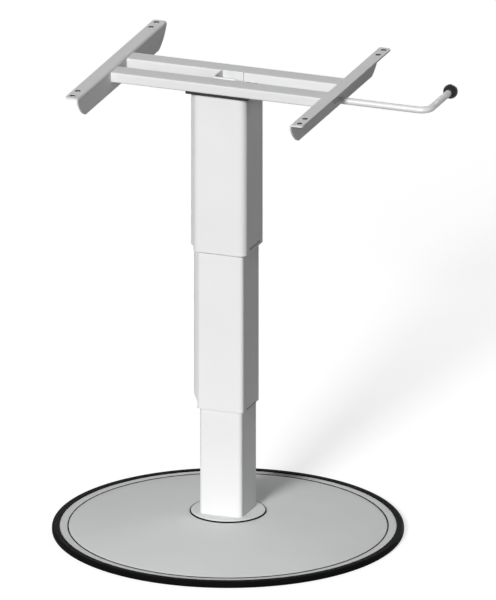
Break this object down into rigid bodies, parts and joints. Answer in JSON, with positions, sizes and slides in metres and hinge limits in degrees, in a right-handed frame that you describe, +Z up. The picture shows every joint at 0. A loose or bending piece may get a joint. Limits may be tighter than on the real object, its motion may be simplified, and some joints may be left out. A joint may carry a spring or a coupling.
{
  "type": "telescoping pedestal table frame",
  "caption": "Height-adjustable pedestal frame for a table: round weighted base, square telescoping column, rails and brackets for the top, side lever that frees the lock.",
  "frame": {"origin": "on the floor, below the axis of the column, which is the middle of the round base", "axes": "+X along the rails towards the lever, +Y along the brackets towards the lever's knob, +Z up"},
  "size_m": [0.5635, 0.5, 0.688],
  "materials": {
    "rim_rubber": "matte",
    "pad_rubber": "matte",
    "plate_steel": "satin dark primer",
    "base_coat": "satin powder coat",
    "column_coat": "satin powder coat",
    "frame_coat": "satin powder coat",
    "inner_steel": "zinc plated sheet",
    "zinc_steel": "zinc plated",
    "dark_plastic": "matt moulded",
    "spring_paint": "satin black",
    "rod_chrome": "polished",
    "lever_steel": "bright drawn bar",
    "knob_plastic": "gloss black"
  },
  "bodies": {
    "base": {"rim_ring": "rim_rubber", "base_plate": "plate_steel", "floor_pads": "pad_rubber", "dome_cover": "base_coat", "foot_flange": "inner_steel", "flange_screws": "zinc_steel", "lower_tube": "column_coat", "tube_collar": "base_coat", "lower_top_guide": "dark_plastic", "lift_cylinder": "spring_paint", "lift_foot_nut": "zinc_steel"},
    "middle_stage": {"middle_tube": "column_coat", "middle_bottom_guide": "dark_plastic", "middle_top_guide": "dark_plastic", "spring_carrier": "inner_steel", "carrier_screws": "zinc_steel", "lift_rod": "rod_chrome", "lift_rod_nut": "zinc_steel", "lock_cylinder": "spring_paint", "lock_cylinder_nut": "zinc_steel"},
    "upper_stage": {"upper_tube": "column_coat", "upper_bottom_guide": "dark_plastic", "top_plate": "plate_steel", "spring_bridge": "inner_steel", "rail_screws": "zinc_steel", "lock_rod": "rod_chrome", "lock_rod_nuts": "zinc_steel", "release_box": "frame_coat", "box_screw": "zinc_steel", "front_rail": "frame_coat", "rear_rail": "frame_coat", "left_bracket": "frame_coat", "right_bracket": "frame_coat", "lever_bush": "dark_plastic", "lever_bearing": "dark_plastic", "bearing_screws": "zinc_steel"},
    "lever": {"lever_rod": "lever_steel", "ball_knob": "knob_plastic", "release_cam": "zinc_steel", "cam_pin": "zinc_steel", "lever_collar": "zinc_steel", "collar_screw": "zinc_steel"},
    "release_pin": {"release_pin": "rod_chrome"}
  },
  "joints": [
    {"name": "middle_slide", "type": "slide", "parent": "base", "child": "middle_stage", "axis": [0, 0, 1], "range_m": [-0.155, 0]},
    {"name": "upper_slide", "type": "slide", "parent": "middle_stage", "child": "upper_stage", "axis": [0, 0, 1], "range_m": [-0.175, 0]},
    {"name": "lever_turn", "type": "hinge", "parent": "upper_stage", "child": "lever", "pos_m": [0.2, 0, 0.66748], "axis": [-1, 0, 0], "range_deg": [0, 25], "stiffness_Nm_per_rad": 0.3, "springref_deg": -28.65},
    {"name": "pin_press", "type": "slide", "parent": "upper_stage", "child": "release_pin", "axis": [0, 0, -1], "range_m": [0, 0.0017]}
  ],
  "couplings": [
    {"joint": "pin_press", "follows": "lever_turn", "m_per_rad": 0.0037}
  ]
}
